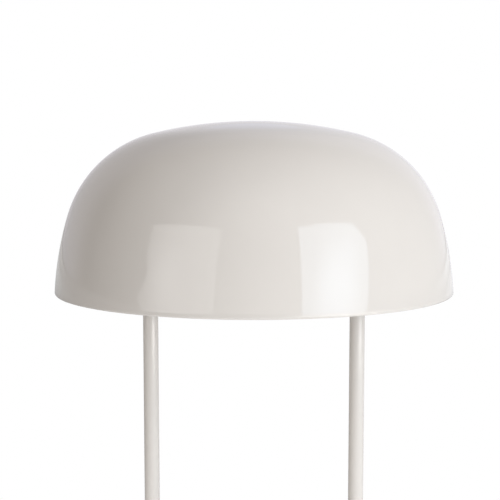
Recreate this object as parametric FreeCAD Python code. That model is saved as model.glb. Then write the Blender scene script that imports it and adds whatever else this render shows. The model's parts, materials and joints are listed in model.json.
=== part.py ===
import FreeCAD, Part
import math
import os

# Table lamp: a spun dome shade on two parallel tube stems that rise from a weighted round base.
# Frame: origin on the table under the middle of the base, +Z up, +X through the two stems, the front towards -Y.
# All lengths in millimetres.

V = FreeCAD.Vector
os.makedirs("parts", exist_ok=True)

# ---------------------------------------------------------------- driving dimensions
LAMP_H = 430.0            # table to the top of the shade

# shade: three tangent arcs, angles are of the outward normal from the vertical
CROWN_R = 330.9           # flat crown
CROWN_A = 13.65
SHOULDER_R = 91.7         # round shoulder
SHOULDER_A = 72.63
WALL_R = 250.0            # nearly upright wall
SHADE_H = 132.1           # top of the shade to the underside of its rim
SHEET_T = 1.0             # spun sheet
HEM_T = 3.2               # folded rim
HEM_H = 9.0

# stems
STEM_R = 6.0
STEM_BORE_R = 4.5
STEM_X = 82.0             # each stem's axis from the middle
STEM_TOP_Z = 392.0
TAP_R = 5.0               # tapped ends for M10 fine nipples
TAP_L = 15.0
NIPPLE_R = 4.97
NIPPLE_BORE_R = 3.5

# bridge across the stem tops
BRIDGE_T = 3.0
BRIDGE_W = 30.0
BRIDGE_Z = STEM_TOP_Z

# base
BASE_R = 110.0
BASE_H = 22.0
BASE_EDGE_R = 7.0
BASE_SKIRT_Z = 1.2
SHELL_T = 1.5
COVER_Z0 = 2.5
COVER_Z1 = 4.0
COVER_R = 107.9
FOOT_RO = 104.0
FOOT_RI = 86.0
BALLAST_R = 106.0
BALLAST_Z0 = 11.5
POCKET_Z = 16.5
SCREW_XY = 49.5
BLOCK_Z0 = 8.5            # terminal block, in a pocket of the ballast
BLOCK_Z1 = 17.5
BLOCK_SCREW_Y = (54.0, 62.0)

# cable inlet in the back of the base
INLET_Z = 11.0
INLET_BORE_R = 3.0

# push switch in the middle of the base
BUTTON_TRAVEL = 3.0

# lamp holder and bulb, both hanging mouth down on the lamp's axis
HOLDER_R = 19.5
HOLDER_TOP_Z = 391.0
HOLDER_JOINT_Z = 364.5
HOLDER_MOUTH_Z = 336.0
BULB_R = 22.5
BULB_END_Z = 285.0
CAP_THREAD_R = 13.1
CAP_VALLEY_R = 12.2
CAP_PITCH = 3.63

# wiring
WIRE_R = 1.0
WIRE_Y = 2.2
HOLDER_POLE_Y = 4.2


# ---------------------------------------------------------------- helpers
def cyl(r, z0, z1, x=0.0, y=0.0):
    return Part.makeCylinder(r, z1 - z0, V(x, y, z0))


def ring(ro, ri, z0, z1, x=0.0, y=0.0):
    return cyl(ro, z0, z1, x, y).cut(cyl(ri, z0 - 1, z1 + 1, x, y))


def box(x0, x1, y0, y1, z0, z1):
    return Part.makeBox(x1 - x0, y1 - y0, z1 - z0, V(x0, y0, z0))


def hex_nut(across, bore_r, z0, z1, x=0.0, y=0.0):
    rc = across / math.sqrt(3.0)
    pts = [V(x + rc * math.cos(math.radians(60 * k)), y + rc * math.sin(math.radians(60 * k)), z0) for k in range(7)]
    body = Part.Face(Part.makePolygon(pts)).extrude(V(0, 0, z1 - z0))
    # turned chamfer on both faces
    c = min(0.9, 0.25 * (z1 - z0))
    lathe = revolve([(0, z0), (across / 2, z0), (rc + 0.02, z0 + c), (rc + 0.02, z1 - c), (across / 2, z1), (0, z1)])
    lathe.translate(V(x, y, 0))
    return body.common(lathe).cut(cyl(bore_r, z0 - 1, z1 + 1, x, y))


def edge_list(items):
    """Edges of a closed profile in the XZ plane. A point is (r, z); an arc is given as ((r, z), through) before its end point."""
    edges = []
    pts = items
    n = len(pts)
    i = 0
    cur = pts[0]
    k = 1
    while k <= n:
        nxt = pts[k % n]
        if isinstance(nxt[0], tuple):       # a point on an arc, then the arc's end
            mid = nxt[0]
            k += 1
            end = pts[k % n]
            edges.append(Part.Arc(V(cur[0], 0, cur[1]), V(mid[0], 0, mid[1]), V(end[0], 0, end[1])).toShape())
            cur = end
        else:
            if math.hypot(nxt[0] - cur[0], nxt[1] - cur[1]) > 1e-6:
                edges.append(Part.LineSegment(V(cur[0], 0, cur[1]), V(nxt[0], 0, nxt[1])).toShape())
            cur = nxt
        k += 1
    return edges


def revolve(items):
    face = Part.Face(Part.Wire(edge_list(items)))
    solid = face.revolve(V(0, 0, 0), V(0, 0, 1), 360)
    if solid.Volume < 0:
        solid.reverse()
    return solid


def arc_mid(c, r, a0, a1):
    a = math.radians((a0 + a1) / 2)
    return (c[0] + r * math.sin(a), c[1] + r * math.cos(a))


def crown_mid(r0, z0, z1):
    """A point half-way along a spherical cap that runs from (r0, z0) to the axis at z1."""
    h = abs(z1 - z0)
    r = (r0 * r0 + h * h) / (2 * h)
    a = math.asin(r0 / r) / 2
    drop = r * (1 - math.cos(a))
    return (r * math.sin(a), z1 - drop if z1 > z0 else z1 + drop)


def on_arc(c, r, a):
    a = math.radians(a)
    return (c[0] + r * math.sin(a), c[1] + r * math.cos(a))


def tube(points, radii, r):
    """A round wire along straight runs joined by tangent arcs."""
    pts = [V(*p) for p in points]
    edges = []
    length = 0.0
    cur = pts[0]
    for i in range(1, len(pts) - 1):
        a = pts[i - 1] - pts[i]
        b = pts[i + 1] - pts[i]
        a.normalize()
        b.normalize()
        turn = math.pi - a.getAngle(b)
        t = radii[i - 1] * math.tan(turn / 2)
        p1 = pts[i] + a * t
        p2 = pts[i] + b * t
        bis = a + b
        bis.normalize()
        centre = pts[i] + bis * (radii[i - 1] / math.cos(turn / 2))
        mid = centre - bis * radii[i - 1]
        if cur.distanceToPoint(p1) > 1e-6:
            edges.append(Part.LineSegment(cur, p1).toShape())
            length += cur.distanceToPoint(p1)
        edges.append(Part.Arc(p1, mid, p2).toShape())
        length += radii[i - 1] * turn
        cur = p2
    edges.append(Part.LineSegment(cur, pts[-1]).toShape())
    length += cur.distanceToPoint(pts[-1])
    start = pts[1] - pts[0]
    section = Part.Wire(Part.makeCircle(r, pts[0], start))
    solid = Part.Wire(edges).makePipeShell([section], True, False)
    if solid.ShapeType != "Solid":
        solid = Part.Solid(solid) if solid.ShapeType == "Shell" else solid.Solids[0]
    if solid.Volume < 0:
        solid.reverse()
    print("wire: length %.1f mm, volume %.1f of %.1f mm3" % (length, solid.Volume, math.pi * r * r * length))
    return solid


PARTS = {}


def part(name, *solids):
    shape = solids[0] if len(solids) == 1 else Part.makeCompound(list(solids))
    PARTS[name] = shape
    return shape


# ---------------------------------------------------------------- shade
c1 = (0.0, LAMP_H - CROWN_R)
c2 = on_arc(c1, CROWN_R - SHOULDER_R, CROWN_A)
c3 = on_arc(c2, SHOULDER_R - WALL_R, SHOULDER_A)
LIP_R = HEM_T / 2
RIM_Z = LAMP_H - SHADE_H
# the wall arc ends where the rim's half-round starts
WALL_A = math.degrees(math.acos((RIM_Z + LIP_R - c3[1]) / WALL_R))
HEM_A = WALL_A - math.degrees(HEM_H / WALL_R)
lip_c = on_arc(c3, WALL_R - LIP_R, WALL_A)
wall_a = math.radians(WALL_A)
lip_low = (lip_c[0] + LIP_R * math.cos(wall_a), lip_c[1] - LIP_R * math.sin(wall_a))
SHADE_R = on_arc(c3, WALL_R, WALL_A)[0]
print("shade: outer radius %.2f at the rim, rim at z %.2f, wall end angle %.2f" % (SHADE_R, RIM_Z, WALL_A))


def shade_r_at(z, inset):
    """Radius of the surface 'inset' inside the shade's outside, at a height."""
    for c, r, a0, a1 in ((c1, CROWN_R, 0, CROWN_A), (c2, SHOULDER_R, CROWN_A, SHOULDER_A), (c3, WALL_R, SHOULDER_A, WALL_A)):
        k = (z - c[1]) / (r - inset)
        if abs(k) <= 1:
            a = math.degrees(math.acos(k))
            if a0 - 1e-6 <= a <= a1 + 1e-6:
                return c[0] + (r - inset) * math.sin(math.radians(a))
    return None


shade = revolve([
    (0, LAMP_H),
    (arc_mid(c1, CROWN_R, 0, CROWN_A), "crown"), on_arc(c1, CROWN_R, CROWN_A),
    (arc_mid(c2, SHOULDER_R, CROWN_A, SHOULDER_A), "shoulder"), on_arc(c2, SHOULDER_R, SHOULDER_A),
    (arc_mid(c3, WALL_R, SHOULDER_A, WALL_A), "wall"), on_arc(c3, WALL_R, WALL_A),
    (lip_low, "lip"), on_arc(c3, WALL_R - HEM_T, WALL_A),
    (arc_mid(c3, WALL_R - HEM_T, WALL_A, HEM_A), "hem"), on_arc(c3, WALL_R - HEM_T, HEM_A),
    on_arc(c3, WALL_R - SHEET_T, HEM_A - 0.35),
    (arc_mid(c3, WALL_R - SHEET_T, HEM_A - 0.35, SHOULDER_A), "wall in"), on_arc(c3, WALL_R - SHEET_T, SHOULDER_A),
    (arc_mid(c2, SHOULDER_R - SHEET_T, SHOULDER_A, CROWN_A), "shoulder in"), on_arc(c2, SHOULDER_R - SHEET_T, CROWN_A),
    (arc_mid(c1, CROWN_R - SHEET_T, CROWN_A, 0), "crown in"), (0, LAMP_H - SHEET_T),
])
part("shade", shade)

# welded boss under the crown: a flange that follows the crown, and a tapped hub
BOSS_Z = 416.0
inside = Part.makeSphere(CROWN_R - SHEET_T, V(0, 0, c1[1]))
under = Part.makeSphere(CROWN_R - SHEET_T - 2.5, V(0, 0, c1[1]))
flange = cyl(20.0, 412, 432).common(inside).cut(under)
hub = cyl(10.0, BOSS_Z, 432).common(inside)
boss = flange.fuse(hub).removeSplitter().cut(cyl(TAP_R, BOSS_Z - 1, 425.0))
part("shade_boss", boss)
part("shade_lock_nut", hex_nut(14.0, 5.02, BOSS_Z - 3.5, BOSS_Z))

# ---------------------------------------------------------------- bridge and its fixings
BRIDGE_TOP = BRIDGE_Z + BRIDGE_T
ends = [cyl(BRIDGE_W / 2, BRIDGE_Z, BRIDGE_TOP, s * STEM_X) for s in (-1, 1)]
bridge = box(-STEM_X, STEM_X, -BRIDGE_W / 2, BRIDGE_W / 2, BRIDGE_Z, BRIDGE_TOP).fuse(ends).removeSplitter()
EARTH_X = -57.0
for x, r in ((-STEM_X, 5.1), (0, 5.1), (STEM_X, 5.1), (EARTH_X, 2.05)):
    bridge = bridge.cut(cyl(r, BRIDGE_Z - 1, BRIDGE_TOP + 1, x))
part("bridge", bridge)

# centre nipple, with a side outlet that lets the wires in above the bridge
OUTLET_Z = 408.0
centre_nipple = ring(NIPPLE_R, NIPPLE_BORE_R, 382.6, 424.0)
centre_nipple = centre_nipple.cut(Part.makeCylinder(3.6, 7.0, V(-7.0, 0, OUTLET_Z), V(1, 0, 0)))
part("centre_nipple", centre_nipple)
part("centre_nut", hex_nut(14.0, 5.02, BRIDGE_TOP + 1.0, BRIDGE_TOP + 6.0))
part("centre_washers", ring(9.0, 5.1, BRIDGE_TOP, BRIDGE_TOP + 1.0), ring(9.0, 5.1, BRIDGE_Z - 1.0, BRIDGE_Z))


# ---------------------------------------------------------------- stems
def stem(x):
    t = ring(STEM_R, STEM_BORE_R, BASE_H, STEM_TOP_Z, x)
    t = t.cut(cyl(TAP_R, BASE_H - 1, BASE_H + TAP_L, x))
    return t.cut(cyl(TAP_R, STEM_TOP_Z - TAP_L, STEM_TOP_Z + 1, x))


part("left_stem", stem(-STEM_X))
part("right_stem", stem(STEM_X))
both = (-STEM_X, STEM_X)
TOP_NIPPLE_Z = BRIDGE_TOP + 8.0
FOOT_NIPPLE_Z = 10.5
part("stem_top_nipples", *[ring(NIPPLE_R, NIPPLE_BORE_R, STEM_TOP_Z - 14.0, TOP_NIPPLE_Z, x) for x in both])
part("stem_top_washers", *[ring(9.0, 5.1, BRIDGE_TOP, BRIDGE_TOP + 1.0, x) for x in both])
part("stem_top_nuts", *[hex_nut(14.0, 5.02, BRIDGE_TOP + 1.0, BRIDGE_TOP + 6.0, x) for x in both])
part("stem_foot_nipples", *[ring(NIPPLE_R, NIPPLE_BORE_R, FOOT_NIPPLE_Z, BASE_H + 14.0, x) for x in both])
part("stem_foot_washers", *[ring(9.5, 5.1, POCKET_Z - 1.0, POCKET_Z, x) for x in both])
part("stem_foot_nuts", *[hex_nut(16.0, 5.02, POCKET_Z - 5.0, POCKET_Z - 1.0, x) for x in both])

# ---------------------------------------------------------------- base shell, ballast, cover, foot
ri = BASE_R - SHELL_T
re_in = BASE_EDGE_R - SHELL_T
q = math.sqrt(0.5)
top_in = BASE_H - SHELL_T
shell = revolve([
    (0, BASE_H), (BASE_R - BASE_EDGE_R, BASE_H),
    ((BASE_R - BASE_EDGE_R + BASE_EDGE_R * q, BASE_H - BASE_EDGE_R + BASE_EDGE_R * q), "edge"), (BASE_R, BASE_H - BASE_EDGE_R),
    (BASE_R, BASE_SKIRT_Z + 0.6), ((BASE_R - 0.6 + 0.6 * q, BASE_SKIRT_Z + 0.6 - 0.6 * q), "hem"), (BASE_R - 0.6, BASE_SKIRT_Z),
    (ri, BASE_SKIRT_Z), (ri, BASE_H - BASE_EDGE_R),
    ((ri - re_in + re_in * q, top_in - re_in + re_in * q), "edge in"), (ri - re_in, top_in), (0, top_in),
])
for x in both:
    shell = shell.cut(cyl(5.1, top_in - 1, BASE_H + 1, x))
shell = shell.cut(cyl(9.1, top_in - 1, BASE_H + 1))
shell = shell.cut(Part.makeCylinder(4.3, 20.0, V(0, BASE_R - 12, INLET_Z), V(0, 1, 0)))
part("base_shell", shell)

fe = 9.0
ballast = revolve([
    (0, BALLAST_Z0), (BALLAST_R, BALLAST_Z0), (BALLAST_R, top_in - fe),
    ((BALLAST_R - fe + fe * q, top_in - fe + fe * q), "edge"), (BALLAST_R - fe, top_in), (0, top_in),
])
for sx in (-1, 1):
    for sy in (-1, 1):
        ballast = ballast.fuse(cyl(5.0, COVER_Z1, BALLAST_Z0 + 1, sx * SCREW_XY, sy * SCREW_XY))
ballast = ballast.removeSplitter()
for x in both:
    ballast = ballast.cut(cyl(12.0, BALLAST_Z0 - 1, POCKET_Z, x)).cut(cyl(5.1, BALLAST_Z0, BASE_H, x))
ballast = ballast.cut(cyl(15.0, BALLAST_Z0 - 1, BASE_H))
ballast = ballast.cut(box(-34, 34, 38, 78, BALLAST_Z0 - 1, BLOCK_Z1))
for y in BLOCK_SCREW_Y:
    ballast = ballast.cut(cyl(1.55, BLOCK_Z1 - 1, top_in - 0.4, 0, y))
ballast = ballast.cut(box(-8.5, 8.5, 76, BASE_R, BALLAST_Z0 - 1, BASE_H))
for sx in (-1, 1):
    for sy in (-1, 1):
        ballast = ballast.cut(cyl(2.05, COVER_Z1 - 1, 15.0, sx * SCREW_XY, sy * SCREW_XY))
part("ballast_plate", ballast)

cover = cyl(COVER_R, COVER_Z0, COVER_Z1)
screws = []
for sx in (-1, 1):
    for sy in (-1, 1):
        x, y = sx * SCREW_XY, sy * SCREW_XY
        sink = Part.makeCone(4.0, 2.5, 1.5, V(x, y, COVER_Z0))
        cover = cover.cut(sink).cut(cyl(2.5, COVER_Z0 - 1, COVER_Z1 + 1, x, y))
        s = Part.makeCone(3.9, 2.4, 1.5, V(x, y, COVER_Z0)).fuse(cyl(2.0, COVER_Z0 + 1.4, 13.5, x, y)).removeSplitter()
        s = s.cut(box(x - 2.6, x + 2.6, y - 0.45, y + 0.45, COVER_Z0 - 0.1, COVER_Z0 + 0.8))
        s = s.cut(box(x - 0.45, x + 0.45, y - 2.6, y + 2.6, COVER_Z0 - 0.1, COVER_Z0 + 0.8))
        screws.append(s)
part("bottom_cover", cover)
part("bottom_screws", *screws)
foot = revolve([(FOOT_RI + 0.6, 0), (FOOT_RO - 0.6, 0), (FOOT_RO, 0.6), (FOOT_RO, COVER_Z0), (FOOT_RI, COVER_Z0), (FOOT_RI, 0.6)])
part("foot_ring", foot)

# ---------------------------------------------------------------- cable inlet
gland = Part.makeCylinder(4.2, 13.0, V(0, BASE_R - 12, INLET_Z), V(0, 1, 0))
collar = Part.makeCone(5.5, 4.6, 5.0, V(0, BASE_R - 1, INLET_Z), V(0, 1, 0)).cut(cyl(BASE_R, 0, 40))
gland = gland.fuse(collar).removeSplitter()
gland = gland.cut(Part.makeCylinder(INLET_BORE_R, 40.0, V(0, BASE_R - 20, INLET_Z), V(0, 1, 0)))
part("cable_inlet_bush", gland)
nut = hex_nut(11.0, 4.25, 0.0, 4.0)
nut.rotate(V(0, 0, 0), V(0, 0, 1), 30)
nut.rotate(V(0, 0, 0), V(1, 0, 0), -90)
nut.translate(V(0, BASE_R - 7.0, INLET_Z))
part("cable_inlet_nut", nut)

# ---------------------------------------------------------------- push switch
sw = revolve([
    (0, 9.5), (9.0, 9.5), (9.0, BASE_H), (12.5, BASE_H), (12.5, 22.8),
    ((12.5 - 1.0 + 1.0 * q, 22.8 + 1.0 * q), "bezel"), (11.5, 23.8), (7.4, 23.8), (7.0, 23.4), (7.0, 20.8), (7.8, 20.8), (7.8, 11.0), (0, 11.0),
])
part("switch_body", sw)
part("switch_nut", hex_nut(24.0, 9.03, top_in - 3.0, top_in))
part("switch_button", revolve([
    (0, 14.5), (4.6, 14.5), (4.6, 17.5), (7.5, 17.5), (7.5, 20.4), (6.7, 20.4), (6.7, 25.9),
    ((6.7 - 1.0 + 1.0 * q, 25.9 + 1.0 * q), "rim"), (5.7, 26.9), (crown_mid(5.7, 26.9, 26.5), "dish"), (0, 26.5),
]))
helix = Part.makeHelix(1.45, 5.7, 6.1)
helix.translate(V(0, 0, 11.4))
coil = Part.Wire(helix.Edges).makePipeShell([Part.Wire(Part.makeCircle(0.35, V(6.1, 0, 11.4), V(0, 1, 0)))], True, True)
if coil.ShapeType != "Solid":
    coil = Part.Solid(coil) if coil.ShapeType == "Shell" else coil.Solids[0]
if coil.Volume < 0:
    coil.reverse()
part("switch_spring", coil)
part("switch_terminals", box(-6.4, -5.6, -4.0, -1.2, 4.8, 9.5), box(-6.4, -5.6, 2.6, 5.4, 4.8, 9.5))

# ---------------------------------------------------------------- terminal block in the base
POLES = (50.0, 58.0, 66.0)
WIRE_IN_Z = 12.5
block = box(-10, 10, 45, 71, BLOCK_Z0, BLOCK_Z1)
tscrews = []
for y in POLES:
    block = block.cut(Part.makeCylinder(1.3, 30, V(-15, y, WIRE_IN_Z), V(1, 0, 0)))
    for x in (-5.0, 5.0):
        block = block.cut(cyl(1.75, 8.0, 11.6, x, y))
        ts = cyl(1.7, 8.8, WIRE_IN_Z - WIRE_R, x, y).cut(box(x - 2, x + 2, y - 0.25, y + 0.25, 8.5, 9.3))
        tscrews.append(ts)
bscrews = []
for y in BLOCK_SCREW_Y:
    for x0, x1 in ((-11, -3.6), (3.6, 11)):
        block = block.cut(box(x0, x1, y - 0.6, y + 0.6, 8.0, 11.5))
    block = block.cut(cyl(1.6, 8.0, BLOCK_Z1 + 1, 0, y))
    b = cyl(1.5, BLOCK_Z0 - 0.5, top_in - 0.7, 0, y).fuse(cyl(2.3, BLOCK_Z0 - 1.6, BLOCK_Z0, 0, y)).removeSplitter()
    b = b.cut(box(-3, 3, y - 0.3, y + 0.3, BLOCK_Z0 - 2.0, BLOCK_Z0 - 0.9))
    bscrews.append(b)
part("terminal_block", block)
part("terminal_screws", *tscrews)
part("block_screws", *bscrews)

# ---------------------------------------------------------------- lamp holder
part("holder_cap", revolve([
    (TAP_R, HOLDER_TOP_Z), (7.4, HOLDER_TOP_Z), (8.0, HOLDER_TOP_Z - 0.6), (8.0, 384.6),
    ((15.4, 381.4), "dome"), (HOLDER_R, 374.0), (HOLDER_R, HOLDER_JOINT_Z + 0.4), (HOLDER_R - 0.4, HOLDER_JOINT_Z),
    (17.2, HOLDER_JOINT_Z), (17.2, 373.6), ((13.9, 379.6), "dome in"), (6.4, 382.4), (TAP_R, 382.4),
]))
grub = Part.makeCylinder(1.25, 3.3, V(0, -8.4, 387.5), V(0, 1, 0)).cut(box(-2, 2, -9.0, -7.6, 387.2, 387.8))
part("holder_grub_screw", grub)
hole = Part.makeCylinder(1.3, 4.0, V(0, -9.0, 387.5), V(0, 1, 0))
PARTS["holder_cap"] = PARTS["holder_cap"].cut(hole)
part("holder_skirt", revolve([
    (HOLDER_R - 0.4, HOLDER_JOINT_Z), (HOLDER_R, HOLDER_JOINT_Z - 0.4), (HOLDER_R, 356.0), (HOLDER_R + 0.9, 355.4), (HOLDER_R + 0.9, 352.2), (HOLDER_R, 351.6),
    (HOLDER_R, HOLDER_MOUTH_Z + 1.5), ((HOLDER_R - 1.5 + 1.5 * q, HOLDER_MOUTH_Z + 1.5 - 1.5 * q), "mouth"), (HOLDER_R - 1.5, HOLDER_MOUTH_Z),
    (15.0, HOLDER_MOUTH_Z), (14.5, HOLDER_MOUTH_Z + 0.5), (14.5, 338.6), (17.2, 338.6), (17.2, HOLDER_JOINT_Z),
]))
insert = cyl(17.1, 361.5, 371.5).cut(cyl(2.05, 361, 372))
part("holder_insert", insert)
part("holder_thread_sleeve", revolve([(13.7, 339.0), (14.3, 339.0), (14.3, 360.9), (17.0, 360.9), (17.0, 361.5), (13.7, 361.5)]))
tongue = box(-2.5, 2.5, -8.5, 5.0, 361.0, 361.5).fuse(cyl(2.0, 361.2, 372.0)).fuse(cyl(2.4, 371.5, 372.2)).removeSplitter()
part("holder_centre_contact", tongue)
terms, hscrews = [], []
for s in (-1, 1):
    y0, y1 = (2.7, 7.7) if s > 0 else (-7.7, -2.7)
    t = box(-3.2, 3.2, y0, y1, 371.5, 377.5)
    yb = s * HOLDER_POLE_Y
    t = t.cut(cyl(1.3, 373.0, 380.0, 0, yb))
    t = t.cut(Part.makeCylinder(1.25, 8.0, V(0, yb, 375.2), V(1, 0, 0)))
    terms.append(t)
    hs = Part.makeCylinder(1.2, 3.4, V(1.1, yb, 375.2), V(1, 0, 0))
    hs = hs.cut(box(4.0, 5.0, yb - 2, yb + 2, 375.0, 375.4))
    hscrews.append(hs)
part("holder_terminals", *terms)
part("holder_terminal_screws", *hscrews)

# ---------------------------------------------------------------- bulb
TIP_Z0, TIP_Z1 = 359.0, 360.6
part("bulb_tip", revolve([(0, TIP_Z0), (4.5, TIP_Z0), (4.5, TIP_Z0 + 0.5), (crown_mid(4.5, TIP_Z0 + 0.5, TIP_Z1), "dome"), (0, TIP_Z1)]))
SHELL_TOP = 355.5
SHELL_END = 333.5
part("bulb_insulator", revolve([(0, SHELL_TOP - 2.5), (10.0, SHELL_TOP - 2.5), (10.0, SHELL_TOP), (5.2, TIP_Z0 - 0.05), (0, TIP_Z0 - 0.05)]))
profile = [(10.1, SHELL_TOP - 3.2), (10.1, SHELL_TOP), (10.6, SHELL_TOP), (CAP_VALLEY_R, SHELL_TOP - 1.6)]
z = SHELL_TOP - 1.6
for k in range(5):
    profile.append(((CAP_THREAD_R, z - CAP_PITCH / 2), "ridge"))
    profile.append((CAP_VALLEY_R, z - CAP_PITCH))
    z -= CAP_PITCH
profile += [(CAP_VALLEY_R, SHELL_END + 0.8), (13.2, SHELL_END + 0.4), (13.2, SHELL_END), (11.4, SHELL_END), (11.4, SHELL_TOP - 3.2)]
part("bulb_screw_cap", revolve(profile))
SEAM_Z = 311.0
part("bulb_housing", revolve([
    (11.3, 345.0), (11.3, SHELL_END), (13.4, SHELL_END), ((16.2, 321.5), "flare"), (21.9, SEAM_Z),
    (20.2, SEAM_Z), ((14.6, 321.7), "flare in"), (11.6, 331.5), (9.9, 334.0), (9.9, 345.0),
]))
part("bulb_led_board", cyl(18.6, SEAM_Z, SEAM_Z + 1.4))
# upright driver board with its capacitor and coil
driver = box(-8.6, 8.6, -0.6, 0.6, SEAM_Z + 1.4, 348.0)
driver = driver.fuse(cyl(4.0, 320.0, 331.0, 0, 4.5)).fuse(box(-4.5, 4.5, -6.5, -0.6, 322.0, 330.0)).removeSplitter()
part("bulb_driver_board", driver)
gc = BULB_END_Z + BULB_R
globe = Part.makeSphere(BULB_R, V(0, 0, gc)).cut(Part.makeSphere(BULB_R - 1.4, V(0, 0, gc)))
globe = globe.common(cyl(40, BULB_END_Z - 5, SEAM_Z))
part("bulb_globe", globe)

# ---------------------------------------------------------------- wiring
W = WIRE_Y
zb = 6.5
part("wire_live", tube([(-6.4, -W, zb), (-STEM_X, -W, zb), (-STEM_X, -W, OUTLET_Z), (0, -W, OUTLET_Z), (0, -W, 381.8), (0, -HOLDER_POLE_Y, 379.2), (0, -HOLDER_POLE_Y, 373.6)], [4.0, 5.0, 3.0, 2.0, 2.0], WIRE_R))
part("wire_neutral", tube([(-6.0, POLES[2], WIRE_IN_Z), (-26.0, POLES[2], WIRE_IN_Z), (-38.0, 44.0, zb), (-60.0, W, zb), (-STEM_X, W, zb), (-STEM_X, W, OUTLET_Z), (0, W, OUTLET_Z), (0, W, 381.8), (0, HOLDER_POLE_Y, 379.2), (0, HOLDER_POLE_Y, 373.6)],
                          [14.0, 22.0, 20.0, 4.0, 5.0, 3.0, 2.0, 2.0], WIRE_R))
part("wire_earth", tube([(-6.0, POLES[1], WIRE_IN_Z), (-24.0, POLES[1], WIRE_IN_Z), (-34.0, 36.0, zb), (-54.0, 0, zb), (-80.5, 0, zb), (-80.5, 0, 405.5), (-74.0, 0, 405.5), (-70.5, 0, 397.0), (-64.5, 0, 397.0)],
                        [14.0, 20.0, 20.0, 3.0, 2.5, 2.5, 2.5], WIRE_R))
part("wire_switch_feed", tube([(-6.0, POLES[0], WIRE_IN_Z), (-20.0, POLES[0], WIRE_IN_Z), (-25.0, 34.0, zb), (-22.0, 4.0, zb), (-6.4, 4.0, zb)], [9.0, 20.0, 9.0], WIRE_R))

# earth tag and screw on the bridge
tag = ring(5.0, 2.1, BRIDGE_TOP, BRIDGE_TOP + 0.8, EARTH_X)
crimp = Part.makeCylinder(1.9, 4.0, V(-66.5, 0, 397.0), V(1, 0, 0)).cut(Part.makeCylinder(1.05, 3.0, V(-67.0, 0, 397.0), V(1, 0, 0)))
neck = box(-63.5, -61.0, -1.5, 1.5, BRIDGE_TOP, BRIDGE_TOP + 0.8)
tag = tag.fuse(neck).fuse(crimp.common(box(-70, -60, -5, 5, BRIDGE_TOP, 402))).removeSplitter()
part("earth_tag", tag)
es = cyl(2.0, BRIDGE_Z - 4.0, BRIDGE_TOP + 1.0, EARTH_X).fuse(cyl(4.0, BRIDGE_TOP + 0.8, BRIDGE_TOP + 3.2, EARTH_X)).removeSplitter()
es = es.cut(box(EARTH_X - 5, EARTH_X + 5, -0.5, 0.5, BRIDGE_TOP + 2.2, BRIDGE_TOP + 4.0))
part("earth_screw", es)
part("earth_nut", hex_nut(7.0, 2.02, BRIDGE_Z - 3.2, BRIDGE_Z, EARTH_X))

# ---------------------------------------------------------------- write
for name, shape in PARTS.items():
    bad = [s for s in shape.Solids if not s.isValid() or s.Volume <= 0]
    print("%-24s solids %d  volume %.1f mm3%s" % (name, len(shape.Solids), shape.Volume, "  INVALID" if bad else ""))
    shape.exportStep(os.path.join("parts", name + ".step"))
print("parts:", len(PARTS))
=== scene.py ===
import bpy
import bmesh
import json
import math
from mathutils import Matrix, Quaternion, Vector, noise


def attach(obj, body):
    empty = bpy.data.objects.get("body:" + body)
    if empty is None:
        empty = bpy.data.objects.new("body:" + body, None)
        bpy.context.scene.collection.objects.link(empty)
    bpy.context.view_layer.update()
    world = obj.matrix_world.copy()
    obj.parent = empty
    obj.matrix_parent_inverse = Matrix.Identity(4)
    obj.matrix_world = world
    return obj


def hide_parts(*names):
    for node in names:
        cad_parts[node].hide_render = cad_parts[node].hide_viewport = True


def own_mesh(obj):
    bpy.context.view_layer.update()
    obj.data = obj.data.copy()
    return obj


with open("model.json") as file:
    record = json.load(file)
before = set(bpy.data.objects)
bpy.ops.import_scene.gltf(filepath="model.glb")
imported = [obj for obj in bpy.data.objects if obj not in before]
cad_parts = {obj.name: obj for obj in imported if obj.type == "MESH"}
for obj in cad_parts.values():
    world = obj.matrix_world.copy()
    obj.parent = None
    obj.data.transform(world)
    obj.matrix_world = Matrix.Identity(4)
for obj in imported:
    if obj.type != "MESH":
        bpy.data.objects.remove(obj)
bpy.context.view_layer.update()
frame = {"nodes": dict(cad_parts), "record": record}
nodes = frame["nodes"]
scene = bpy.context.scene
MM = 0.001

# ---------------------------------------------------------------- the lamp's own dimensions, in millimetres
LAMP_H = 430.0
CROWN_R, CROWN_A = 330.9, 13.65
SHOULDER_R, SHOULDER_A = 91.7, 72.63
WALL_R = 250.0
SHADE_H = 132.1
SHEET_T, HEM_T, HEM_H = 1.0, 3.2, 9.0
STEM_R, STEM_X, STEM_TOP_Z = 6.0, 82.0, 392.0
STEM_BORE_R, TAP_R, TAP_L = 4.5, 5.0, 15.0
BASE_R, BASE_H, BASE_EDGE_R, BASE_SKIRT_Z, SHELL_T = 110.0, 22.0, 7.0, 1.2, 1.5
INLET_Z = 11.0


# ---------------------------------------------------------------- node helpers
def new_material(name):
    m = bpy.data.materials.new(name)
    m.use_nodes = True
    nt = m.node_tree
    nt.nodes.clear()
    out = nt.nodes.new("ShaderNodeOutputMaterial")
    return m, nt, out


def add(nt, kind, **values):
    n = nt.nodes.new(kind)
    for k, v in values.items():
        if hasattr(n, k) and k not in n.inputs:
            setattr(n, k, v)
        else:
            n.inputs[k].default_value = v
    return n


def principled(nt, out, **values):
    b = nt.nodes.new("ShaderNodeBsdfPrincipled")
    for k, v in values.items():
        b.inputs[k.replace("_", " ")].default_value = v
    nt.links.new(b.outputs["BSDF"], out.inputs["Surface"])
    return b


def object_coords(nt):
    return nt.nodes.new("ShaderNodeTexCoord").outputs["Object"]


def noise_tex(nt, vec, scale, detail=2.0, rough=0.5):
    n = nt.nodes.new("ShaderNodeTexNoise")
    n.inputs["Scale"].default_value = scale
    n.inputs["Detail"].default_value = detail
    n.inputs["Roughness"].default_value = rough
    nt.links.new(vec, n.inputs["Vector"])
    return n


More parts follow.
